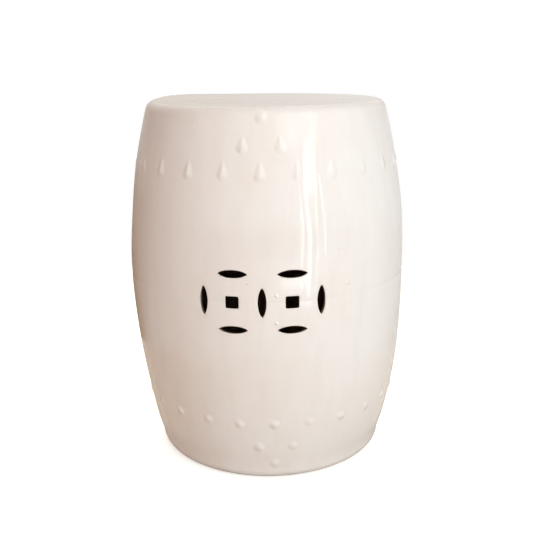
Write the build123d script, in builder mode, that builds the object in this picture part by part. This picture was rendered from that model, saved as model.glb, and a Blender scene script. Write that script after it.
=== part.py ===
# Glazed ceramic garden stool: a hollow barrel luted together from clay pieces, with a pierced
# double-coin motif on the front and back and rows of applied bosses near the rim and the foot.
# Millimetres. Origin on the floor under the middle of the stool, +Z up, the front faces -Y.
import os
from math import acos, degrees, hypot, sqrt

from build123d import *

os.makedirs("parts", exist_ok=True)

# Barrel: radii of its outer face, and how far each half bows out between its ends
height = 457.0
waist_height = 239.5
rim_radius = 149.5
belly_radius = 178.0
foot_radius = 146.0
upper_bulge = 7.7
lower_bulge = 8.0
wall = 9.0

# Seat slab, foot ring and the coils of clay pressed into their inside corners
seat_thickness = 13.0
rim_rounding = 12.0
foot_thickness = 17.0
foot_rounding = 18.0
foot_ring_width = 51.0
foot_opening_rounding = 3.0
seam_land = 1.0
coil_size = 12.0
coil_hollow = 2.0

# Pierced motif, centred on the waist: two coins side by side, each a square with four
# leaf-shaped slots round it, which share the slot between them. A coin reaches sideways
# from its middle to the upright slots, and rises to the level ones.
coin_reach = 34.8
coin_rise = 33.2
slot_length = 34.5
slot_width = 9.8
square_side = 15.2
piercing_margin = 20.0

# Applied bosses: a row of drops under the rim, a row of domes over the foot, and a cluster
# of two and one beside each row at the front and the back. A drop's place is that of its bulb.
bosses_in_row = 24
drop_below_rim = 74.7
drop_length = 28.5
drop_width = 14.0
drop_relief = 1.9
pair_drop_below_rim = 44.2
pair_drop_length = 24.0
crown_dome_below_rim = 12.4
crown_dome_width = 14.0
lower_dome_height = 83.2
lower_pair_height = 51.8
lower_crown_height = 25.8
lower_dome_width = 14.0
dome_relief = 1.9

# The lower half of the barrel was set on turned by this many degrees
lower_half_turn = 4.0

# Places that follow from these
rim_seam = height - rim_rounding - seam_land
seat_underside = height - seat_thickness
foot_seam = foot_rounding + seam_land
foot_opening_radius = foot_radius - foot_ring_width
sides = {"front": 0.0, "back": 180.0}


# The circle through two points of the outline that bows outwards by bulge between them:
# its centre's distance from the stool's axis, its centre's height and its radius.
def barrel_arc(low, high, bulge):
    run_out, run_up = high[0] - low[0], high[1] - low[1]
    chord = hypot(run_out, run_up)
    arc_radius = (chord**2 / 4 + bulge**2) / (2 * bulge)
    set_back = arc_radius - bulge
    centre_out = (low[0] + high[0]) / 2 - set_back * run_up / chord
    centre_up = (low[1] + high[1]) / 2 + set_back * run_out / chord
    return centre_out, centre_up, arc_radius


upper_arc = barrel_arc((belly_radius, waist_height), (rim_radius, height), upper_bulge)
lower_arc = barrel_arc((foot_radius, 0), (belly_radius, waist_height), lower_bulge)


# The half of the barrel's outline that height z belongs to
def half_arc(z):
    return upper_arc if z >= waist_height else lower_arc


# A point of the barrel's outer face in the profile plane, or of a face that lies inset within it
def wall_point(z, inset=0.0, half=None):
    centre_out, centre_up, arc_radius = half or half_arc(z)
    return centre_out + sqrt((arc_radius - inset) ** 2 - (z - centre_up) ** 2), z


# A stretch of that face's outline, within one half of the barrel
def wall_line(z_start, z_end, inset=0.0):
    middle = (z_start + z_end) / 2
    return ThreePointArc(*[wall_point(z, inset, half_arc(middle)) for z in (z_start, middle, z_end)])


# Tangent plane of the outer face at the front, at height z: X to the right, Y up the wall
def face_plane(z):
    centre_out, centre_up, arc_radius = half_arc(z)
    face_radius = wall_point(z)[0]
    outwards = (face_radius - centre_out) / arc_radius
    lean = (z - centre_up) / arc_radius
    return Plane(origin=(0, -face_radius, z), x_dir=(1, 0, 0), z_dir=(0, -outwards, lean))


# Upright plane inside the barrel that faces straight out through the wall, turned about the axis
def piercing_plane(turn, z):
    outwards = Vector(0, -1, 0).rotate(Axis.Z, turn)
    across = Vector(1, 0, 0).rotate(Axis.Z, turn)
    start_radius = belly_radius - wall - piercing_margin
    return Plane(origin=outwards * start_radius + Vector(0, 0, z), x_dir=across, z_dir=outwards)


# Whole barrel as a filled body, which shapes the backs of the bosses
with BuildPart() as barrel:
    with BuildSketch(Plane.XZ):
        with BuildLine():
            Polyline((foot_radius, 0), (0, 0), (0, height), (rim_radius, height))
            wall_line(height, waist_height)
            wall_line(waist_height, 0)
        make_face()
    revolve(axis=Axis.Z)
    barrel_edges = barrel.edges().filter_by(GeomType.CIRCLE).sort_by(Axis.Z)
    fillet(barrel_edges[-1], rim_rounding)
    fillet(barrel_edges[0], foot_rounding)

# Bodies of the pierced slots and squares, through the wall at the front and the back
coin_turn = degrees(coin_reach / belly_radius)
piercing_depth = wall + 2 * piercing_margin
with BuildPart() as piercings:
    for side_turn in sides.values():
        upright_slots = [(step * coin_turn, 0.0, 90.0) for step in (-2, 0, 2)]
        coin_ends = [(step, rise) for step in (-1, 1) for rise in (-coin_rise, coin_rise)]
        level_slots = [(step * coin_turn, rise, 0.0) for step, rise in coin_ends]
        for turn, rise, lean in upright_slots + level_slots:
            with BuildSketch(piercing_plane(side_turn + turn, waist_height + rise)):
                with BuildLine(Plane.XY.rotated((0, 0, lean))):
                    ends = (-slot_length / 2, 0), (slot_length / 2, 0)
                    ThreePointArc(ends[0], (0, slot_width / 2), ends[1])
                    ThreePointArc(ends[1], (0, -slot_width / 2), ends[0])
                make_face()
            extrude(amount=piercing_depth)
        for turn in (-coin_turn, coin_turn):
            with BuildSketch(piercing_plane(side_turn + turn, waist_height)):
                Rectangle(square_side, square_side)
            extrude(amount=piercing_depth)

# Seat: a slab with a rounded rim, set on the upper wall's bevelled edge
with BuildPart() as seat_slab:
    with BuildSketch(Plane.XZ):
        with BuildLine():
            wall_line(rim_seam, height)
            Polyline((rim_radius, height), (0, height), (0, seat_underside))
            Polyline((0, seat_underside), wall_point(seat_underside, wall), wall_point(rim_seam))
        make_face()
    revolve(axis=Axis.Z)
    fillet(seat_slab.edges().filter_by(GeomType.CIRCLE).sort_by(Axis.Z)[-1], rim_rounding)
seat_slab.part.label = "seat_slab"
export_step(seat_slab.part, "parts/seat_slab.step")

# Upper half of the barrel wall
with BuildPart() as upper_wall:
    with BuildSketch(Plane.XZ):
        with BuildLine():
            outer_line = wall_line(waist_height, rim_seam)
            inner_line = wall_line(seat_underside, waist_height, wall)
            Line(outer_line @ 1, inner_line @ 0)
            Line(inner_line @ 1, outer_line @ 0)
        make_face()
    revolve(axis=Axis.Z)
    add(piercings.part, mode=Mode.SUBTRACT)
upper_wall.part.label = "upper_wall"
export_step(upper_wall.part, "parts/upper_wall.step")

# Lower half of the barrel wall, butted to the upper half at the waist
with BuildPart() as lower_wall:
    with BuildSketch(Plane.XZ):
        with BuildLine():
            outer_line = wall_line(foot_seam, waist_height)
            inner_line = wall_line(waist_height, foot_thickness, wall)
            Line(outer_line @ 1, inner_line @ 0)
            Line(inner_line @ 1, outer_line @ 0)
        make_face()
    revolve(axis=Axis.Z)
    add(piercings.part, mode=Mode.SUBTRACT)
lower_wall.part.label = "lower_wall"
export_step(lower_wall.part, "parts/lower_wall.step")

# Foot: a flat ring with a round opening, bevelled to the lower wall's edge
with BuildPart() as foot_ring:
    with BuildSketch(Plane.XZ):
        with BuildLine():
            wall_line(0, foot_seam)
            Line(wall_point(foot_seam), wall_point(foot_thickness, wall))
            Polyline(
                wall_point(foot_thickness, wall),
                (foot_opening_radius, foot_thickness),
                (foot_opening_radius, 0),
                (foot_radius, 0),
            )
        make_face()
    revolve(axis=Axis.Z)
    floor_edges = foot_ring.edges().filter_by(GeomType.CIRCLE).group_by(Axis.Z)[0]
    fillet(floor_edges.sort_by(SortBy.RADIUS)[-1], foot_rounding)
    opening_face = foot_ring.faces().filter_by(GeomType.CYLINDER).sort_by(SortBy.RADIUS)[0]
    fillet(opening_face.edges().filter_by(GeomType.CIRCLE), foot_opening_rounding)
foot_ring.part.label = "foot_ring"
export_step(foot_ring.part, "parts/foot_ring.step")


# Coil of clay pressed into the inside corner between the wall and a level face at height z.
# It reaches coil_size along both, downwards or upwards, and its free face is thumbed hollow.
def corner_coil(z, upwards):
    far_z = z + coil_size if upwards else z - coil_size
    corner = wall_point(z, wall)
    on_level = (corner[0] - coil_size, z)
    on_wall = wall_point(far_z, wall)
    towards_corner = coil_hollow / sqrt(2)
    middle_out = (on_level[0] + on_wall[0]) / 2 + towards_corner
    middle_up = (z + far_z) / 2 + (-towards_corner if upwards else towards_corner)
    with BuildPart() as coil:
        with BuildSketch(Plane.XZ):
            with BuildLine():
                wall_line(far_z, z, wall)
                Line(corner, on_level)
                ThreePointArc(on_level, (middle_out, middle_up), on_wall)
            make_face()
        revolve(axis=Axis.Z)
    return coil.part


for name, z, upwards in (("seat_coil", seat_underside, False), ("foot_coil", foot_thickness, True)):
    coil = corner_coil(z, upwards)
    coil.label = name
    export_step(coil, f"parts/{name}.step")


# Radius of the ball whose cap has this width and stands this high
def cap_radius(width, relief):
    return (width**2 / 4 + relief**2) / (2 * relief)


# Round boss at the front of the barrel: the cap of a ball sunk in the wall. Over the rounding of
# the rim or the foot it ends within its own relief of the width.
def dome_boss(z, width):
    ball = cap_radius(width, dome_relief)
    with BuildPart() as boss:
        with Locations(face_plane(z).offset(dome_relief - ball)):
            Sphere(ball)
        with Locations(face_plane(z)):
            Cylinder(width / 2 + dome_relief, 2 * ball, mode=Mode.INTERSECT)
        add(barrel.part, mode=Mode.SUBTRACT)
    return boss.part


# Drop boss at the front of the barrel: a ball sunk in the wall, drawn out upwards into a cone
# whose tip lies on the wall. z is the height of the ball.
def drop_boss(z, length):
    ball = cap_radius(drop_width, drop_relief)
    ball_centre = face_plane(z).from_local_coords((0, 0, drop_relief - ball))
    tip = face_plane(z).from_local_coords((0, length - drop_width / 2, 0))
    along = tip - ball_centre
    touch_angle = degrees(acos(ball / along.length))
    section = Plane(origin=ball_centre, x_dir=along, z_dir=Vector(1, 0, 0).cross(along))
    with BuildPart() as boss:
        with BuildSketch(section):
            with BuildLine():
                cap_line = CenterArc((0, 0), ball, touch_angle, 180 - touch_angle)
                Polyline(cap_line @ 1, (along.length, 0), cap_line @ 0)
            make_face()
        revolve(axis=Axis(ball_centre, along))
        add(barrel.part, mode=Mode.SUBTRACT)
    return boss.part


# Rows of bosses, counted round from the front
row_step = 360 / bosses_in_row
rows = {
    "upper_drop": (drop_boss(height - drop_below_rim, drop_length), 0.0),
    "lower_dome": (dome_boss(lower_dome_height, lower_dome_width), lower_half_turn),
}
for row_name, (shape, first_turn) in rows.items():
    for number in range(bosses_in_row):
        node_name = f"{row_name}_{number + 1:02d}"
        with BuildPart() as boss:
            add(shape, rotation=(0, 0, first_turn + number * row_step))
        boss.part.label = node_name
        export_step(boss.part, f"parts/{node_name}.step")

# Clusters: two bosses over the gaps of the row and one beyond them
clusters = {
    "upper_cluster": (
        drop_boss(height - pair_drop_below_rim, pair_drop_length),
        dome_boss(height - crown_dome_below_rim, crown_dome_width),
        0.0,
    ),
    "lower_cluster": (
        dome_boss(lower_pair_height, lower_dome_width),
        dome_boss(lower_crown_height, lower_dome_width),
        lower_half_turn,
    ),
}
for cluster_name, (pair_shape, crown_shape, first_turn) in clusters.items():
    for side, side_turn in sides.items():
        node_name = f"{cluster_name}_{side}"
        middle_turn = side_turn + first_turn
        with BuildPart() as cluster:
            add(pair_shape, rotation=(0, 0, middle_turn - row_step / 2))
            add(pair_shape, rotation=(0, 0, middle_turn + row_step / 2))
            add(crown_shape, rotation=(0, 0, middle_turn))
        cluster.part.label = node_name
        export_step(cluster.part, f"parts/{node_name}.step")
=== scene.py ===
import math

import bpy
import numpy as np
from mathutils import Matrix, Vector


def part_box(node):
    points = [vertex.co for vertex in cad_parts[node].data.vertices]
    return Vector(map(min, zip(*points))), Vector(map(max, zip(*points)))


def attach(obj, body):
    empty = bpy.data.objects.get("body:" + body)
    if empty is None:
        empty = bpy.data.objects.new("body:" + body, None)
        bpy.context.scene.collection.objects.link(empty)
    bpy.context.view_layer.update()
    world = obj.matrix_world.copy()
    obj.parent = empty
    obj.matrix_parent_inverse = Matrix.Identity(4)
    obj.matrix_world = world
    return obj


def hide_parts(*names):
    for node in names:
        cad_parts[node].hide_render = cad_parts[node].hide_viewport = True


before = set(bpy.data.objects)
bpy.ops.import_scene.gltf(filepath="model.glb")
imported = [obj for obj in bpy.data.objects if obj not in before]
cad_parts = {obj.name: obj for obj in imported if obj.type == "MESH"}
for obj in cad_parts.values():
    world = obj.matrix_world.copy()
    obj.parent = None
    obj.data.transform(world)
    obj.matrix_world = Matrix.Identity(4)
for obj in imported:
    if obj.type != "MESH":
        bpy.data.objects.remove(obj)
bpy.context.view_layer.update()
print("stool frame loaded,", len(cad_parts), "clay pieces")

# Barrel, in metres: radii of the outer face, how far each half bows out between its ends, and the
# counts of points along a side, the shoulder over the motif and the flank under it
barrel = {
    "top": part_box("seat_slab")[1].z,
    "rimSeam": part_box("upper_wall")[1].z,
    "waist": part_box("upper_wall")[0].z,
    "footSeam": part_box("lower_wall")[0].z,
    "rimRadius": 0.1495,
    "bellyRadius": 0.178,
    "footRadius": 0.1460,
    "upperBulge": 0.0077,
    "lowerBulge": 0.0080,
    "wall": 0.009,
    "sideSteps": 81,
    "shoulderSteps": 37,
    "flankSteps": 41,
}

# What the hand leaves in the clay: sideways leans (amount, height, spread), a lifted stretch of rim
# (amount, turn, spread) that grows from a height over a stretch, slow ripples (amount, waves round,
# waves up, phase), and rings where the wall is drawn in (amount, height, spread): the seam and the heel
handWork = {
    "leans": ((-0.0014, 0.235, 0.055), (0.0012, 0.095, 0.045), (-0.0008, 0.375, 0.040)),
    "rimLift": (0.0034, -2.08, 0.55),
    "liftGrows": (0.36, 0.09),
    "ripples": (
        (0.00024, 2, 17, 0.4),
        (0.00018, 3, -29, 1.7),
        (0.00010, 5, 46, 2.6),
        (0.00006, 8, -71, 0.9),
    ),
    "rings": ((0.00030, barrel["waist"], 0.0030), (0.0017, 0.022, 0.014)),
}


# Circle through two points of the outline that stands bulge outside their chord:
# radius = (half chord squared + bulge squared) / twice the bulge.
def barrelArc(low, high, bulge):
    out, up = high[0] - low[0], high[1] - low[1]
    chord = math.hypot(out, up)
    arcRadius = (chord ** 2 / 4 + bulge ** 2) / (2 * bulge)
    setBack = (arcRadius - bulge) / chord
    return (low[0] + high[0]) / 2 - setBack * up, (low[1] + high[1]) / 2 + setBack * out, arcRadius


bellyRing = (barrel["bellyRadius"], barrel["waist"])
upperArc = barrelArc(bellyRing, (barrel["rimRadius"], barrel["top"]), barrel["upperBulge"])
lowerArc = barrelArc((barrel["footRadius"], 0), bellyRing, barrel["lowerBulge"])


# Smooth step from 0 to 1: 3t^2 - 2t^3 with t held between 0 and 1.
def easeStep(t):
    t = np.clip(t, 0, 1)
    return t * t * (3 - 2 * t)


# Cylinder place (turn, radius, height) to x, y, z with the hand's unevenness on it: the radius gains
# a sum of sines of turn and height, the axis leans by bell curves of height, the rim lifts at one side.
def settle(turn, radius, z):
    turn, radius, z = np.broadcast_arrays(turn, radius, z)
    swell = sum(a * np.sin(waves * turn + up * z + phase) for a, waves, up, phase in handWork["ripples"])
    swell = swell - sum(a * np.exp(-(((z - at) / wide) ** 2)) for a, at, wide in handWork["rings"])
    lean = sum(a * np.exp(-(((z - at) / wide) ** 2)) for a, at, wide in handWork["leans"])
    rise, side, wide = handWork["rimLift"]
    start, stretch = handWork["liftGrows"]
    away = np.angle(np.exp(1j * (turn - side)))
    grown = easeStep((z - start) / stretch)
    lift = rise * np.exp(-((away / wide) ** 2)) * grown * radius / barrel["rimRadius"]
    radius = radius * (1 + swell / barrel["bellyRadius"])
    return np.stack([radius * np.sin(turn) + lean, -radius * np.cos(turn), z + lift], -1)


# Point of the wall: along is the arc length round the belly, z the height on the outer face and depth
# the way in along the face's normal, so radius = arc centre + (arc radius - depth) x cosine of the lean.
def wallPoint(along, z, depth):
    along, z, depth = np.broadcast_arrays(along, z, depth)
    upper = z >= barrel["waist"]
    out, up, arcRadius = (np.where(upper, a, b) for a, b in zip(upperArc, lowerArc))
    sine = (z - up) / arcRadius
    reach = arcRadius - depth
    return settle(along / barrel["bellyRadius"], out + reach * np.sqrt(1 - sine ** 2), up + reach * sine)


# Outer radius of the barrel at a height, from the same circles.
def faceRadius(z):
    out, up, arcRadius = upperArc if z >= barrel["waist"] else lowerArc
    return out + math.sqrt(arcRadius ** 2 - (z - up) ** 2)


# Points with their glaze cover (1 glazed, 0 bare) and thinness (1 where the glaze has drawn off an edge).
def dress(points, cover=1.0, thin=0.0):
    size = points.shape[:-1]
    extra = [np.broadcast_to(value, size)[..., None] for value in (cover, thin)]
    return np.concatenate([points, *extra], -1)


# Quads of a grid of points: each takes the four neighbours (row, column), rows upwards outside.
def quads(grid):
    corners = grid[:-1, :-1], grid[:-1, 1:], grid[1:, 1:], grid[1:, :-1]
    return np.stack(corners, 2).reshape(-1, 4, grid.shape[-1])


creaseAngle = math.radians(38)  # edges bent more than this stay crisp


# One mesh from patches of quads: equal points become one, and a quad with an edge of no length a triangle.
def weld(name, patches, materials):
    corners = np.concatenate(patches)
    flat = corners.reshape(-1, corners.shape[-1])
    _, first, place = np.unique(np.round(flat[:, :3], 7), axis=0, return_index=True, return_inverse=True)
    faces = place.reshape(-1, 4)
    shutLow, shutHigh = faces[:, 0] == faces[:, 1], faces[:, 2] == faces[:, 3]
    whole = faces[~shutLow & ~shutHigh]
    fans = np.concatenate([faces[shutLow][:, [0, 2, 3]], faces[shutHigh][:, [0, 1, 2]]])
    mesh = bpy.data.meshes.new(name)
    mesh.from_pydata(flat[first, :3], [], whole.tolist() + fans.tolist())
    for column, label in ((3, "glazeCover"), (4, "glazeThin")):
        layer = mesh.attributes.new(label, "FLOAT", "POINT")
        layer.data.foreach_set("value", flat[first, column].astype(np.float32))
    mesh.polygons.foreach_set("use_smooth", np.ones(len(mesh.polygons), bool))
    mesh.set_sharp_from_angle(angle=creaseAngle)
    for material in materials:
        mesh.materials.append(material)
    piece = bpy.data.objects.new(name, mesh)
    bpy.context.scene.collection.objects.link(piece)
    return piece


# A finished piece rides on the stool and stands for its clay node, which is hidden.
def setInPlace(piece, node):
    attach(piece, "root")
    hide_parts(node)


# Shader node with its inputs set by name, or by number where two share a name.
def addNode(tree, kind, values=None, **settings):
    made = tree.nodes.new(kind)
    for key, value in settings.items():
        setattr(made, key, value)
    for key, value in (values or {}).items():
        if isinstance(value, bpy.types.NodeSocket):
            tree.links.new(value, made.inputs[key])
        else:
            made.inputs[key].default_value = value
    return made


# One arithmetic node: the two values joined by the operation named.
def reckon(tree, kind, one, other):
    return addNode(tree, "ShaderNodeMath", {0: one, 1: other}, operation=kind).outputs[0]


# Mixed colour: one + amount x (other - one).
def blendTones(tree, amount, one, other):
    return addNode(tree, "ShaderNodeMix", {0: amount, 6: one, 7: other}, data_type="RGBA").outputs[2]


# Mixed value: one + amount x (other - one).
def blendValues(tree, amount, one, other):
    return addNode(tree, "ShaderNodeMix", {0: amount, 2: one, 3: other}, data_type="FLOAT").outputs[0]


# Material with an empty node tree.
def plainMaterial(name):
    material = bpy.data.materials.new(name)
    material.use_nodes = True
    material.node_tree.nodes.clear()
    return material, material.node_tree


# Scales are cells per metre, heights are metres
glaze = {
    "body": (0.815, 0.793, 0.760, 1),  # cream white
    "warm": (0.790, 0.750, 0.700, 1),  # where the clay warms it
    "thinned": (0.560, 0.430, 0.325, 1),  # drawn off an edge
    "speck": (0.300, 0.205, 0.140, 1),
    "roughness": (0.018, 0.050),
    "runStretch": 0.16,  # squeezes the noise upright, so that it runs down the wall
    "cloudScale": 11,
    "cloudShare": 0.55,
    "runScale": 62,
    "runShare": 0.50,
    "edgeScale": 130,
    "edgeShare": 0.12,
    "speckScale": 58.0,
    "speckShare": 0.7,
    "glossScale": 34,
    "seatCalm": (0.012, 0.002),  # under the seat's top: it lay level, so its glaze is plainer
    "seatWarmth": 0.35,
    "waveScale": 58,
    "waveHeight": 0.00014,
    "fineRunScale": 150,
    "fineRunHeight": 0.00009,
    "peelScale": 330,
    "peelHeight": 0.000010,
    "pitScale": 120.0,
    "pitDepth": 0.00008,
}
clay = {
    "pale": (0.440, 0.320, 0.230, 1),
    "dark": (0.310, 0.212, 0.148, 1),
    "fleck": (0.640, 0.520, 0.420, 1),
    "roughness": 0.85,
    "patchScale": 26,
    "gritScale": 900,
    "gritHeight": 0.00025,
    "borderScale": 210,  # the ragged line where the glaze ends
}


# Cream glaze over clay on one shader: noise mixes the two creams in slow clouds and upright runs,
# thin edges show the clay, fine cells leave specks and pinholes, and the cover bares the clay.
def makeGlaze():
    material, tree = plainMaterial("creamGlaze")
    place = addNode(tree, "ShaderNodeTexCoord").outputs["Object"]
    drawn = {"Vector": place, "Scale": (1, 1, glaze["runStretch"])}
    runs = addNode(tree, "ShaderNodeMapping", drawn).outputs[0]
    cover = addNode(tree, "ShaderNodeAttribute", attribute_name="glazeCover").outputs["Fac"]
    thin = addNode(tree, "ShaderNodeAttribute", attribute_name="glazeThin").outputs["Fac"]

    # noise between 0 and 1, finer with each octave
    def noise(vector, scale, detail=2.0, rough=0.5):
        values = {"Vector": vector, "Scale": scale, "Detail": detail, "Roughness": rough}
        return addNode(tree, "ShaderNodeTexNoise", values).outputs["Fac"]

    # smooth step of a value from one level to another
    def spread(value, low, high, toLow=0.0, toHigh=1.0):
        values = {"Value": value, "From Min": low, "From Max": high, "To Min": toLow, "To Max": toHigh}
        made = addNode(tree, "ShaderNodeMapRange", values, interpolation_type="SMOOTHSTEP")
        return made.outputs["Result"]

    # cells, each with its distance from the middle and a random tone of its own
    def cells(scale, channel):
        made = addNode(tree, "ShaderNodeTexVoronoi", {"Vector": place, "Scale": scale})
        tones = addNode(tree, "ShaderNodeSeparateColor", {"Color": made.outputs["Color"]})
        return made.outputs["Distance"], tones.outputs[channel]

    # product of two values
    def times(one, other):
        return reckon(tree, "MULTIPLY", one, other)

    # value x share + base
    def adding(value, share, base):
        made = addNode(tree, "ShaderNodeMath", {0: value, 1: share, 2: base}, operation="MULTIPLY_ADD")
        return made.outputs[0]

    clouds = spread(noise(place, glaze["cloudScale"], 3), 0.34, 0.70)
    streaks = spread(noise(runs, glaze["runScale"], 3, 0.6), 0.40, 0.72)
    up = addNode(tree, "ShaderNodeSeparateXYZ", {0: place}).outputs["Z"]
    wallEnds, seatStarts = (barrel["top"] - under for under in glaze["seatCalm"])
    calm = spread(up, wallEnds, seatStarts, 1.0, 0.05)
    warmth = adding(clouds, glaze["cloudShare"], times(streaks, glaze["runShare"]))
    warmth = times(warmth, spread(calm, 0.0, 1.0, glaze["seatWarmth"], 1.0))
    colour = blendTones(tree, warmth, glaze["body"], glaze["warm"])
    worn = times(thin, spread(noise(place, glaze["edgeScale"], 3), 0.30, 0.62, 0.35, 1.0))
    colour = blendTones(tree, times(worn, glaze["edgeShare"]), colour, glaze["thinned"])
    far, rare = cells(glaze["speckScale"], "Red")
    dots = times(spread(far, 0.020, 0.055, 1, 0), spread(rare, 0.93, 0.95))
    colour = blendTones(tree, times(dots, glaze["speckShare"]), colour, glaze["speck"])

    grit = noise(place, clay["gritScale"], 4, 0.7)
    patches = spread(noise(place, clay["patchScale"], 5, 0.62), 0.32, 0.68)
    clayColour = blendTones(tree, patches, clay["dark"], clay["pale"])
    clayColour = blendTones(tree, spread(grit, 0.60, 0.74, 0, 0.45), clayColour, clay["fleck"])
    ragged = reckon(tree, "SUBTRACT", noise(place, clay["borderScale"], 3), 0.5)
    covered = spread(reckon(tree, "ADD", cover, times(ragged, 0.5)), 0.42, 0.58)
    colour = blendTones(tree, covered, clayColour, colour)

    gloss = spread(noise(place, glaze["glossScale"], 3), 0.3, 0.7, *glaze["roughness"])
    dullness = blendValues(tree, covered, clay["roughness"], gloss)

    # heights: slow waves and upright runs of the glaze, fine orange peel, pinholes, clay grain
    waves = times(noise(place, glaze["waveScale"], 1), glaze["waveHeight"])
    runny = adding(noise(runs, glaze["fineRunScale"], 1), glaze["fineRunHeight"], waves)
    peel = adding(noise(place, glaze["peelScale"], 1), glaze["peelHeight"], runny)
    far, rare = cells(glaze["pitScale"], "Green")
    pinholes = times(spread(far, 0.02, 0.07, 1, 0), spread(rare, 0.86, 0.90))
    pitted = reckon(tree, "SUBTRACT", peel, times(pinholes, glaze["pitDepth"]))
    height = blendValues(tree, covered, times(grit, clay["gritHeight"]), times(pitted, calm))
    bump = addNode(tree, "ShaderNodeBump", {"Strength": 1.0, "Distance": 1.0, "Height": height})

    finish = {"Base Color": colour, "Roughness": dullness, "Normal": bump.outputs[0], "IOR": 1.5}
    shader = addNode(tree, "ShaderNodeBsdfPrincipled", finish)
    addNode(tree, "ShaderNodeOutputMaterial", {"Surface": shader.outputs[0]})
    return material


creamGlaze = makeGlaze()
print("glaze mixed")

# Pierced motif at the front and back, from its middle: two coins side by side, each a square hole with
# four leaf slots, the middle slot shared. Each hole has a cell of wall of its own.
motif = {
    "reach": 0.0348,  # from a coin's middle sideways to its slots
    "rise": 0.0332,  # and up and down to them
    "slotLength": 0.0345,
    "slotWidth": {"upright": 0.0098, "level": 0.0092},
    "square": (0.0156, 0.0144),
    "squareness": 11,
    "lip": 0.0008,  # rounding of the glazed edge
    "innerLip": 0.0008,
    "flare": 0.35,  # how much wider the hole gets inwards, per depth
    "uprightCell": 0.011,  # half the width of an upright slot's cell
    "levelCell": 0.014,  # half the height of a level slot's cell
    "columnSteps": (12, 24, 12, 24, 12),
    "rowSteps": (14, 18, 14),
    "leafTaper": 1.35,
    "tipCrowding": 1.3,  # how much the points of a slot crowd towards its tips
    "easeIn": (1, 0.72, 0.48, 0.29, 0.15, 0.06, 0),  # rows between a cell's border and its hole
    "bendSteps": 5,
    "glazeEnds": (0.0010, 0.0020),  # depth in the hole where the glaze starts to end, and over how much
    "thinSpread": 0.1,
}
nearly = 1e-6  # slack when points are picked by their place


# Even steps between each pair of edges, end to end.
def stepsBetween(edges, counts):
    runs = [np.linspace(a, b, n + 1)[:-1] for a, b, n in zip(edges, edges[1:], counts)]
    return np.concatenate([*runs, edges[-1:]])


halfRound = math.pi * barrel["bellyRadius"]
columnEdges = [i * motif["reach"] + way * motif["uprightCell"] for i in (-2, 0, 2) for way in (-1, 1)]
rowEdges = [i * motif["rise"] + way * motif["levelCell"] for i in (-1, 1) for way in (-1, 1)]
panelAlong = stepsBetween(columnEdges, motif["columnSteps"])
panelUp = barrel["waist"] + stepsBetween(rowEdges, motif["rowSteps"])
sideRun = np.linspace(panelAlong[-1], halfRound + panelAlong[0], barrel["sideSteps"])
sideRuns = sideRun, sideRun + halfRound
frontHalf, backHalf = (
    np.concatenate([panelAlong + turnedBy, run[1:-1]]) for turnedBy, run in zip((0, halfRound), sideRuns)
)
allRound = np.concatenate([frontHalf, backHalf, panelAlong[:1] + 2 * halfRound])
panelAbove = panelUp[panelUp > barrel["waist"] - nearly]
panelBelow = panelUp[panelUp < barrel["waist"] + nearly]
shoulderUp = np.linspace(panelUp[-1], barrel["rimSeam"], barrel["shoulderSteps"])
flankUp = np.linspace(barrel["footSeam"], panelUp[0], barrel["flankSteps"])


# Stretch of wall face at one depth: a grid of arc lengths by heights.
def wallFace(along, up, depth):
    return quads(dress(wallPoint(along[None, :], up[:, None], depth), 1.0 if depth == 0 else 0.0))


# Level edge of the wall: two rows, at the depths given, along one height.
def wallEdge(along, z, depths):
    depths = np.array(depths)[:, None]
    return quads(dress(wallPoint(along[None, :], z, depths), (depths < barrel["wall"] / 2).astype(float)))


# Leaf outline: half length x sine, half width x cosine to the power of the taper, so the tips are
# pointed but soft.
def leafOutline(angle, length, width):
    return length / 2 * np.sin(angle), width / 2 * np.clip(np.cos(angle), 0, 1) ** motif["leafTaper"]


# Outline of a square with soft corners: the sum of both shares to the power of the squareness is 1.
def squareOutline(across, upright, grow):
    power = motif["squareness"]
    size = (np.abs(across) ** power + np.abs(upright) ** power) ** (1 / power)
    halfWide, halfHigh = (side / 2 + grow for side in motif["square"])
    return across / size * halfWide, upright / size * halfHigh


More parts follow.
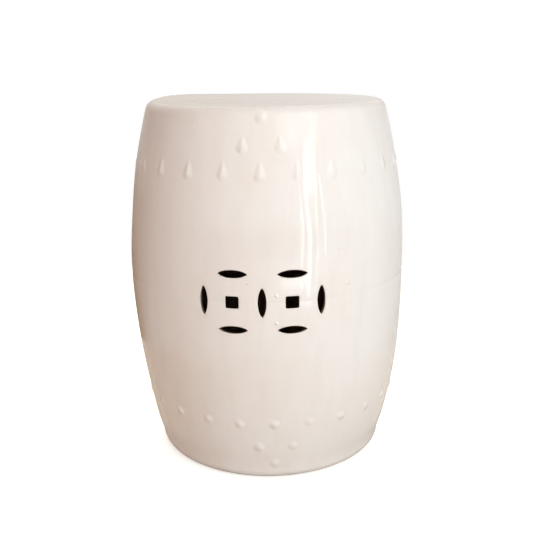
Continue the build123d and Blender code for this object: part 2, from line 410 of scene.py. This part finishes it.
# Pierced cell: rows run from the cell's border in to the hole's rounded lip, through the wall and out to
# the border inside; columns run round the hole. Returns the grid and the two waist strips of its sides.
def piercedCell(along, up, shape):
    middle = len(up) // 2
    low, high = along[0], along[-1]
    wide, tall = len(along) - 1, len(up) - 1
    right, left = [high], [low]
    acrossTop, acrossFoot = along[:0:-1], along[:-1]
    borderAlong = np.concatenate([right * middle, acrossTop, left * tall, acrossFoot, right * (middle + 1)])
    borderUp = np.concatenate([up[middle:-1], [up[-1]] * wide, up[:0:-1], [up[0]] * wide, up[:middle + 1]])
    atAlong, atUp = (low + high) / 2, up[middle]
    across = (borderAlong - atAlong) / (high - low) * 2
    upright = (borderUp - atUp) / (up[-1] - up[0]) * 2
    quarter = np.where(np.abs(across) > 1 - nearly, np.abs(upright) / 2, 1 - np.abs(across) / 2)

    # the hole grown by a little, point for point with the border
    def outline(grow):
        if shape == "square":
            return squareOutline(across, upright, grow)
        fromTip = quarter if shape == "level" else 1 - quarter
        angle = math.pi / 2 * (1 - fromTip ** motif["tipCrowding"])
        far, near = leafOutline(angle, motif["slotLength"] + 2 * grow, motif["slotWidth"][shape] + 2 * grow)
        if shape == "upright":
            far, near = near, far
        return np.sign(across) * far, np.sign(upright) * near

    wall, lip, innerLip = barrel["wall"], motif["lip"], motif["innerLip"]
    ease = motif["easeIn"]
    bend = np.linspace(0, math.pi / 2, motif["bendSteps"])[1:]
    through = wall - innerLip - lip
    wider = motif["flare"] * through
    rows = [(share, lip, 0.0) for share in ease]
    rows += [(0, lip * (1 - math.sin(a)), lip * (1 - math.cos(a))) for a in bend]
    rows += [(0, wider * t, lip + through * t) for t in (1 / 3, 2 / 3)]
    inward = [(1 - math.sin(a), 1 - math.cos(a)) for a in bend[::-1]]
    rows += [(0, wider + innerLip * out, wall - innerLip * back) for out, back in inward]
    rows += [(share, wider + innerLip, wall) for share in ease[::-1]]
    share, grow, depth = (np.array(column, float)[:, None] for column in zip(*rows))
    edges = [outline(g) for g in grow[:, 0]]
    holeAlong, holeUp = (np.stack(part) for part in zip(*edges))
    gridAlong = share * borderAlong + (1 - share) * (atAlong + holeAlong)
    gridUp = share * borderUp + (1 - share) * (atUp + holeUp)
    ends, over = motif["glazeEnds"]
    cover = 1 - easeStep((depth - ends) / over)
    thin = np.exp(-((share / motif["thinSpread"]) ** 2)) * cover
    grid = dress(wallPoint(gridAlong, gridUp, depth), cover, thin)
    half = len(rows) // 2
    side = len(borderAlong) // 2
    leftStrip = np.stack([grid[:half, side], grid[:half - 1:-1, side]])
    rightStrip = np.stack([grid[:half, 0], grid[:half - 1:-1, 0]])[:, ::-1]
    return grid, [leftStrip, rightStrip]


# The stretches of points that lie between each pair of edges, both edges kept.
def between(points, edges):
    return [points[(points > a - nearly) & (points < b + nearly)] for a, b in zip(edges, edges[1:])]


upperPatches, lowerPatches = [], []
for turnedBy in (0, halfRound):
    column = [stretch + turnedBy for stretch in between(panelAlong, columnEdges)]
    row = between(panelUp, [barrel["waist"] + edge for edge in rowEdges])
    holes = [(column[i], panelUp, "upright") for i in (0, 2, 4)]
    holes += [(column[i], row[1], "square") for i in (1, 3)]
    holes += [(column[i], row[j], "level") for i in (1, 3) for j in (0, 2)]
    for along, up, shape in holes:
        grid, strips = piercedCell(along, up, shape)
        faces = quads(grid)
        above = faces[:, :, 2].mean(1) > barrel["waist"]
        upperPatches.append(faces[above])
        lowerPatches.append(faces[~above])
        if shape != "level":
            upperPatches += [quads(strip[::-1]) for strip in strips]
            lowerPatches += [quads(strip) for strip in strips]
print("motif pierced")

wall = barrel["wall"]
for patches, panel, plain in ((upperPatches, panelAbove, shoulderUp), (lowerPatches, panelBelow, flankUp)):
    patches += [wallFace(allRound, plain, 0.0), wallFace(allRound, plain[::-1], wall)]
    for run in sideRuns:
        patches += [wallFace(run, panel, 0.0), wallFace(run, panel[::-1], wall)]
for run in sideRuns:
    upperPatches.append(wallEdge(run, barrel["waist"], (wall, 0.0)))
    lowerPatches.append(wallEdge(run, barrel["waist"], (0.0, wall)))
upperPatches.append(wallEdge(allRound, barrel["rimSeam"], (0.0, wall)))
lowerPatches.append(wallEdge(allRound, barrel["footSeam"], (wall, 0.0)))

# Bosses: their heights on the wall, width, relief and the length of a drop
bosses = {
    "count": 24,
    "lowerTurn": math.radians(4.0),
    "crowding": (math.radians(1.0), 1.13),  # how far the rows close up at the front right, and from where
    "skirt": 1.2,  # how far the glaze runs out round them
    "pressed": (0.35, 1.45, 0.35),  # the bosses at both sides were pressed flatter: share, turn, spread
    "sink": 0.0007,
    "tuck": 0.00005,  # how far the skirt's edge lies under the wall's face
    "loose": (0.0004, 0.0004, 0.03, 0.04),  # set by hand: place along and up, size, relief
    "tipSoftness": 0.10,
    "around": 41,
    "outwards": 12,
    "drop": {"z": 0.3823, "width": 0.0140, "length": 0.0285, "relief": 0.0016},
    "pairDrop": {"z": 0.4128, "width": 0.0140, "length": 0.0240, "relief": 0.0016},
    "crown": {"z": 0.4446, "width": 0.0145, "relief": 0.0019},
    "dome": {"z": 0.0832, "width": 0.0140, "relief": 0.0018},
    "lowPair": {"z": 0.0518, "width": 0.0140, "relief": 0.0018},
    "lowCrown": {"z": 0.0258, "width": 0.0140, "relief": 0.0018},
}
# Beads of glaze that stayed on the wall: the half they are on, turn, form
beads = (
    ("upper", 0.583, {"z": 0.2546, "width": 0.0054, "relief": 0.0013}),
    ("upper", 0.092, {"z": 0.2480, "width": 0.0046, "relief": 0.0011}),
    ("lower", 0.088, {"z": 0.2155, "width": 0.0052, "relief": 0.0013}),
)
hand = np.random.default_rng(24)


# Boss on the wall: a polar grid whose outline is a circle, or for a drop the circle's tangents up to the
# tip (radius / cosine of the angle past the touching point); height = relief x cosine squared of the way out.
def bossShell(turn, spec):
    loose = hand.normal(0, 1, 4) * bosses["loose"]
    bearing = np.linspace(0, 2 * math.pi, bosses["around"])
    radius = spec["width"] / 2 * (1 + loose[2])
    reach = np.full_like(bearing, radius)
    if "length" in spec:
        tip = spec["length"] - spec["width"] / 2
        touch = math.asin(radius / tip)
        fromTip = np.hypot(np.angle(np.exp(1j * (bearing - math.pi / 2))), bosses["tipSoftness"])
        reach = radius / np.cos(np.clip(math.pi / 2 - touch - fromTip, 0, None))
    share = np.linspace(0, 1, bosses["outwards"])[:, None]
    out = np.concatenate([share, share[::-1]]) * reach * bosses["skirt"]
    flatter, side, wide = bosses["pressed"]
    flatter *= math.exp(-(((abs(math.remainder(turn, 2 * math.pi)) - side) / wide) ** 2))
    rise = spec["relief"] * (1 + loose[3] - flatter) * np.cos(math.pi / 2 * share) ** 2
    depth = np.concatenate([np.full_like(share, bosses["sink"]), -rise[::-1] + bosses["tuck"]])
    belly = barrel["bellyRadius"]
    along = turn * belly + loose[0] + out * np.cos(bearing) * belly / faceRadius(spec["z"])
    points = wallPoint(along, spec["z"] + loose[1] + out * np.sin(bearing), depth)
    points[:, -1] = points[:, 0]
    return quads(dress(points, 1.0, 0.0))


wallPatches = {"upper": upperPatches, "lower": lowerPatches}
for half, turn, form in beads:
    wallPatches[half].append(bossShell(turn, form))
for half, patches in wallPatches.items():
    setInPlace(weld(half + "Wall", patches, [creamGlaze]), half + "_wall")
print("walls raised")

rowStep = 2 * math.pi / bosses["count"]
crowding, crowdFrom = bosses["crowding"]
for number in range(bosses["count"]):
    turn = number * rowStep
    turn -= crowding * (1 - math.cos(turn + crowdFrom))
    drop = weld(f"upperDrop{number + 1:02d}", [bossShell(turn, bosses["drop"])], [creamGlaze])
    setInPlace(drop, f"upper_drop_{number + 1:02d}")
    domeShell = bossShell(turn + bosses["lowerTurn"], bosses["dome"])
    dome = weld(f"lowerDome{number + 1:02d}", [domeShell], [creamGlaze])
    setInPlace(dome, f"lower_dome_{number + 1:02d}")
clusters = (("upper", "pairDrop", "crown", 0.0), ("lower", "lowPair", "lowCrown", bosses["lowerTurn"]))
for side, turn in (("front", 0.0), ("back", math.pi)):
    for level, pair, crown, turnedBy in clusters:
        start = turn + turnedBy
        shells = [bossShell(start + step * rowStep, bosses[pair]) for step in (-0.5, 0.5)]
        shells.append(bossShell(start, bosses[crown]))
        cluster = weld(level + "Cluster" + side.title(), shells, [creamGlaze])
        setInPlace(cluster, f"{level}_cluster_{side}")
print("bosses set on")

seat = {
    "rounding": 0.012,
    "underside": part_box("seat_slab")[0].z,
    "fall": 0.0010,  # the seat falls off a little before it rounds over
    "fallFrom": (0.100, 0.040),  # radius at which that begins, and over how much
    "fallGrows": 0.010,  # height over the seam in which the fall comes in
    "middleRing": 0.07,
    "jointStep": 0.0018,
    "rings": 30,
}
foot = {
    "rounding": 0.018,
    "upperSide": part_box("foot_ring")[1].z,
    "openingRadius": 0.095,
    "openingRounding": 0.003,
    "jointStep": 0.0018,
    "innerRing": 0.02,
    "soleRings": 10,
    "bareLine": 0.0024,  # height at which the glaze was wiped off
    "bareWaves": ((0.22, 5, 1), (0.16, 13, 0), (0.10, 31, 2)),  # share, waves round, phase
    "glazeEnd": 0.0012,
    "thinSpread": 0.0022,
}
coil = {"size": 0.012, "hollow": 0.002, "thumbs": 37, "thumbDepth": 0.0013, "sway": (5, 1)}
roundSteps = 15  # points on a rounded edge
landSteps = 4  # points between a seam and a rounded edge


# Profile carried round the axis: every profile point is turned through the same angles as the walls.
def turned(radius, z, cover=1.0, thin=0.0):
    points = settle(allRound / barrel["bellyRadius"], radius, z)
    points[:, -1] = points[:, 0]
    return quads(dress(points, cover, thin))


# Points of the wall's cut edge in the profile plane: outer face at height z, and the inner face behind it.
def cutEdge(z):
    out, up, arcRadius = upperArc if z >= barrel["waist"] else lowerArc
    sine = (z - up) / arcRadius
    reach = arcRadius - barrel["wall"]
    return (faceRadius(z), z), (out + reach * math.sqrt(1 - sine ** 2), up + reach * sine)


# Quarter round of radius r that touches the outer face and the level plane z: its centre lies r
# inside both.
def edgeRound(arc, z, r, upwards):
    centreZ = z - r if upwards else z + r
    centreOut = arc[0] + math.sqrt((arc[2] - r) ** 2 - (centreZ - arc[1]) ** 2)
    touch = math.atan2(centreZ - arc[1], centreOut - arc[0])
    start, end = (touch, math.pi / 2) if upwards else (-math.pi / 2, touch)
    angle = np.linspace(start, end, roundSteps)
    return np.stack([centreOut + r * np.cos(angle), centreZ + r * np.sin(angle)], 1)


outer, inner = cutEdge(barrel["rimSeam"])
rim = edgeRound(upperArc, barrel["top"], seat["rounding"], True)
land = np.linspace(outer[1], rim[0, 1], landSteps)[1:-1]
inwards = np.linspace(1, 0, seat["rings"])[1:]
crownRadius = rim[-1, 0] * inwards
crownZ = np.full_like(inwards, barrel["top"])
lower = [(out, seat["underside"]) for out in (0, seat["middleRing"], inner[0] - seat["jointStep"])]
lower += [inner, outer]
side = [(faceRadius(z), z) for z in land]
profile = np.concatenate([lower, side, rim, np.stack([crownRadius, crownZ], 1)])
fallFrom, fallOver = seat["fallFrom"]
softened = easeStep((profile[:, 0] - fallFrom) / fallOver)
softened = softened * easeStep((profile[:, 1] - barrel["rimSeam"]) / seat["fallGrows"])
profile[:, 1] -= seat["fall"] * softened
bare = np.arange(len(profile)) < len(lower) - 1
slab = turned(profile[:, :1], profile[:, 1:], (~bare).astype(float)[:, None])
setInPlace(weld("seatSlab", [slab], [creamGlaze]), "seat_slab")

outer, inner = cutEdge(barrel["footSeam"])
heel = edgeRound(lowerArc, 0.0, foot["rounding"], False)
land = np.linspace(heel[-1, 1], outer[1], landSteps)[1:-1]
bend = np.linspace(0, math.pi / 2, 6)
opening, soft, high = foot["openingRadius"], foot["openingRounding"], foot["upperSide"]
topEdge = np.stack([opening + soft * (1 - np.sin(bend)), high - soft * (1 - np.cos(bend))], 1)
lowEdge = np.stack([opening + soft * (1 - np.cos(bend)), soft * (1 - np.sin(bend))], 1)
soleRadius = np.linspace(lowEdge[-1, 0], heel[0, 0], foot["soleRings"])[1:-1]
sole = np.stack([soleRadius, np.zeros_like(soleRadius)], 1)
inside = [inner] + [(inner[0] - back, high) for back in (foot["jointStep"], foot["innerRing"])]
side = [(faceRadius(z), z) for z in land]
profile = np.concatenate([heel, side, [outer], inside, topEdge, lowEdge, sole, heel[:1]])
glazed = np.arange(len(profile)) < len(heel) + len(land) + 1
turns = allRound / barrel["bellyRadius"]
ragged = sum(a * np.sin(waves * turns + phase) for a, waves, phase in foot["bareWaves"])
bareLine = foot["bareLine"] * (1 + ragged)
cover = glazed[:, None] * easeStep((profile[:, 1:] - bareLine) / foot["glazeEnd"] + 0.5)
thin = glazed[:, None] * np.exp(-(((profile[:, 1:] - bareLine) / foot["thinSpread"]) ** 2))
ring = turned(profile[:, :1], profile[:, 1:], cover, thin)
setInPlace(weld("footRing", [ring], [creamGlaze]), "foot_ring")


# Coil of clay in a corner: its hollow face bows towards the corner by the hollow, deeper under each thumb.
def cornerCoil(z, upwards):
    way = 1 if upwards else -1
    arc = lowerArc if upwards else upperArc
    reach = arc[2] - barrel["wall"]
    alongWall = np.linspace(0, coil["size"], 5)
    wallOut = arc[0] + np.sqrt(reach ** 2 - (z + way * alongWall - arc[1]) ** 2)
    share = np.linspace(0, 1, 12)[1:-1, None]
    waves, phase = coil["sway"]
    presses = np.sin(coil["thumbs"] * turns) * np.sin(waves * turns + phase)
    thumb = coil["thumbDepth"] * (0.5 + 0.5 * presses)
    press = (coil["hollow"] + thumb) / math.sqrt(2) * np.sin(math.pi * share)
    faceOut = wallOut[-1] + (wallOut[0] - coil["size"] - wallOut[-1]) * share + press
    faceZ = z + way * (coil["size"] * (1 - share) - press)
    back = np.ones_like(turns)
    levelOut = wallOut[0] - coil["size"] * np.array([[1], [0.5], [0]])
    radius = np.concatenate([wallOut[:, None] * back, faceOut, levelOut * back])
    height = np.concatenate([(z + way * alongWall)[:, None] * back, faceZ, np.full_like(levelOut, z) * back])
    return turned(radius[::way], height[::way], 0.0)


for corner, z, upwards in (("seat", seat["underside"], False), ("foot", foot["upperSide"], True)):
    pressed = weld(corner + "Coil", [cornerCoil(z, upwards)], [creamGlaze])
    setInPlace(pressed, corner + "_coil")
print("seat, foot and coils luted on")

studio = {
    "floorTone": (0.68, 0.625, 0.55, 1),
    "floorLift": 0.68,  # what the floor is brightened by where it is seen
    "liftFrom": (0.10, 0.13),  # it begins under the foot, so the floor inside the stool stays dark
    "ambient": (0.331, 0.228, 0.210, 1),
    "whiteFrom": (0.45, 1.15),  # metres from the stool at which the floor runs out to white
    "floorSpan": 12.0,
    "floorDrop": 0.0003,  # under the foot, so that the two faces never lie in one plane
    # lamps that only light: place, aim, size, power, colour
    "lamps": {
        "windowLow": ((1.40, -2.05, 0.85), (0, 0, 0.24), (2.2, 1.4), 20.2, (0.53, 0.76, 1.0)),
        "windowHigh": ((1.05, -1.75, 1.60), (0, 0, 0.30), (1.5, 1.2), 30.5, (0.92, 1.0, 0.94)),
        "backTop": ((-0.30, 1.50, 1.70), (0, 0, 0.45), (1.8, 1.2), 38, (0.99, 1.0, 0.92)),
        "frontFill": ((-0.30, -2.30, 0.90), (0, 0, 0.24), (1.6, 1.4), 7.9, (1.0, 0.64, 0.50)),
    },
    # white panes that only gleam on the glaze: place, aim, size, power
    "panes": {
        "topPane": ((1.05, -1.75, 1.60), (0, 0, 0.42), (1.5, 1.2), 8.5),
        "tallPane": ((0.423, -0.695, 0.29), (0.061, -0.167, 0.29), (0.037, 0.58), 0.27),
        "upperPane": ((0.478, -0.658, 0.530), (0.070, -0.163, 0.40), (0.125, 0.205), 0.25),
        "lowPane": ((0.2915, -0.7595, 0.10), (0.052, -0.170, 0.25), (0.30, 0.040), 0.095),
        "barLeft": ((0.359, -0.731, 0.26), (0.052, -0.170, 0.28), (0.012, 0.44), 0.080),
        "barRight": ((0.489, -0.644, 0.24), (0.072, -0.163, 0.26), (0.014, 0.36), 0.065),
        "barFar": ((0.553, -0.589, 0.34), (0.081, -0.159, 0.33), (0.016, 0.30), 0.090),
    },
}

# Floor: a wide square that shows its shade near the stool and runs out to plain white
floorMesh = bpy.data.meshes.new("floor")
span, low = studio["floorSpan"], -studio["floorDrop"]
floorCorners = [(x * span, y * span, low) for x, y in ((-1, -1), (1, -1), (1, 1), (-1, 1))]
floorMesh.from_pydata(floorCorners, [], [(0, 1, 2, 3)])
floor = bpy.data.objects.new("floor", floorMesh)
bpy.context.scene.collection.objects.link(floor)
paper, tree = plainMaterial("paleFloor")
seenDirect = addNode(tree, "ShaderNodeLightPath").outputs["Is Camera Ray"]
place = addNode(tree, "ShaderNodeTexCoord").outputs["Object"]
far = addNode(tree, "ShaderNodeVectorMath", {0: place}, operation="LENGTH").outputs["Value"]
near, away = studio["whiteFrom"]
growing = {"Value": far, "From Min": near, "From Max": away}
runOut = addNode(tree, "ShaderNodeMapRange", growing, interpolation_type="SMOOTHERSTEP").outputs[0]
inner, outer = studio["liftFrom"]
growing = {"Value": far, "From Min": inner, "From Max": outer, "To Max": studio["floorLift"]}
outside = addNode(tree, "ShaderNodeMapRange", growing).outputs[0]
dull = {"Base Color": studio["floorTone"], "Roughness": 0.9, "Specular IOR Level": 0.1}
matt = addNode(tree, "ShaderNodeBsdfPrincipled", dull)
glow = reckon(tree, "MULTIPLY", seenDirect, outside)
lift = addNode(tree, "ShaderNodeEmission", {"Color": (1, 1, 1, 1), "Strength": glow})
shade = addNode(tree, "ShaderNodeAddShader", {0: matt.outputs[0], 1: lift.outputs[0]})
white = addNode(tree, "ShaderNodeEmission", {"Color": (1, 1, 1, 1), "Strength": 1.0})
whiteShare = reckon(tree, "MULTIPLY", runOut, seenDirect)
both = addNode(tree, "ShaderNodeMixShader", {0: whiteShare, 1: shade.outputs[0], 2: white.outputs[0]})
addNode(tree, "ShaderNodeOutputMaterial", {"Surface": both.outputs[0]})
floorMesh.materials.append(paper)

# Screen round the sides and back, there only for the gloss: it rises from the floor like a wide dish and
# stands upright, white at both ends like the room, darker at the back left and middling at the back right
screen = {
    "ends": (-0.85, -5.05),
    "columns": 65,
    "radius": (0.45, 0.8, 1.3, 2.2, 2.2, 2.2, 2.2),
    "height": (0.004, 0.075, 0.17, 0.35, 0.7, 1.4, 7.0),
    "darkest": (-2.5, 0.75, (1.0, 1.0, 0.85, 0.50, 0.55, 0.55, 0.55)),  # turn, spread, share on each ring
    "middling": (-3.9, 0.80, (1.0, 0.9, 0.6, 0.4, 1.0, 1.0, 1.0)),
    "dark": (0.26, 0.17, 0.09, 1),
    "mid": (0.74, 0.70, 0.66, 1),
}
sweep = np.linspace(*screen["ends"], screen["columns"])
ringRadius, ringHeight = (np.array(screen[key])[:, None] for key in ("radius", "height"))
across, back = ringRadius * np.sin(sweep), -ringRadius * np.cos(sweep)
screenPoints = np.stack(np.broadcast_arrays(across, back, ringHeight), -1)
shades = []
for at, wide, share in (screen["darkest"], screen["middling"]):
    shades.append(np.exp(-(((sweep - at) / wide) ** 4)) * np.array(share)[:, None])
backScreen = weld("backScreen", [quads(dress(screenPoints, *shades))], [])
backScreen.visible_camera = backScreen.visible_diffuse = False
backScreen.visible_shadow = backScreen.visible_transmission = False
toned, tree = plainMaterial("screenTone")
darkShare = addNode(tree, "ShaderNodeAttribute", attribute_name="glazeCover").outputs["Fac"]
midShare = addNode(tree, "ShaderNodeAttribute", attribute_name="glazeThin").outputs["Fac"]
tone = blendTones(tree, midShare, (1, 1, 1, 1), screen["mid"])
tone = blendTones(tree, darkShare, tone, screen["dark"])
lit = addNode(tree, "ShaderNodeEmission", {"Color": tone, "Strength": 1.0})
addNode(tree, "ShaderNodeOutputMaterial", {"Surface": lit.outputs[0]})
backScreen.data.materials.append(toned)

# World: white where it is seen or mirrored, a soft warm level where it lights
world = bpy.data.worlds.new("studioRoom")
bpy.context.scene.world = world
world.use_nodes = True
tree = world.node_tree
tree.nodes.clear()
rays = addNode(tree, "ShaderNodeLightPath")
shown = reckon(tree, "MAXIMUM", rays.outputs["Is Camera Ray"], rays.outputs["Is Glossy Ray"])
shown = reckon(tree, "MAXIMUM", shown, rays.outputs["Is Transmission Ray"])
ambient = addNode(tree, "ShaderNodeBackground", {"Color": studio["ambient"], "Strength": 1.0})
plain = addNode(tree, "ShaderNodeBackground", {"Color": (1, 1, 1, 1), "Strength": 1.0})
both = addNode(tree, "ShaderNodeMixShader", {0: shown, 1: ambient.outputs[0], 2: plain.outputs[0]})
addNode(tree, "ShaderNodeOutputWorld", {"Surface": both.outputs[0]})

for name, (spot, aim, size, power, *tint) in (studio["lamps"] | studio["panes"]).items():
    lamp = bpy.data.lights.new(name, "AREA")
    lamp.shape = "RECTANGLE"
    lamp.size, lamp.size_y = size
    lamp.energy = power
    lamp.color = tint[0] if tint else (1, 1, 1)
    holder = bpy.data.objects.new(name, lamp)
    bpy.context.scene.collection.objects.link(holder)
    holder.location = spot
    holder.rotation_euler = (Vector(spot) - Vector(aim)).to_track_quat("Z", "Y").to_euler()
    holder.visible_camera = False
    holder.visible_glossy = name in studio["panes"]
    holder.visible_diffuse = name in studio["lamps"]

# Camera as the photograph was taken: a little to the right of the motif, above the rim, tipped down, rolled
camera = {
    "lens": 55.03,
    "turn": 2.0,
    "distance": 1.0569,
    "height": 0.5156,
    "down": 14.915,
    "roll": -0.866,
    "shift": (-0.0031, 0.0018),
}
view = bpy.data.cameras.new("photoView")
view.lens = camera["lens"]
view.sensor_width = 36
view.shift_x, view.shift_y = camera["shift"]
holder = bpy.data.objects.new("photoView", view)
bpy.context.scene.collection.objects.link(holder)
turn = math.radians(camera["turn"])
away = camera["distance"]
stand = Matrix.Translation((away * math.sin(turn), -away * math.cos(turn), camera["height"]))
aimed = Matrix.Rotation(turn, 4, "Z") @ Matrix.Rotation(math.radians(90 - camera["down"]), 4, "X")
holder.matrix_world = stand @ aimed @ Matrix.Rotation(math.radians(camera["roll"]), 4, "Z")
bpy.context.scene.camera = holder
bpy.context.scene.view_settings.view_transform = "Standard"
print("studio lit, camera set")
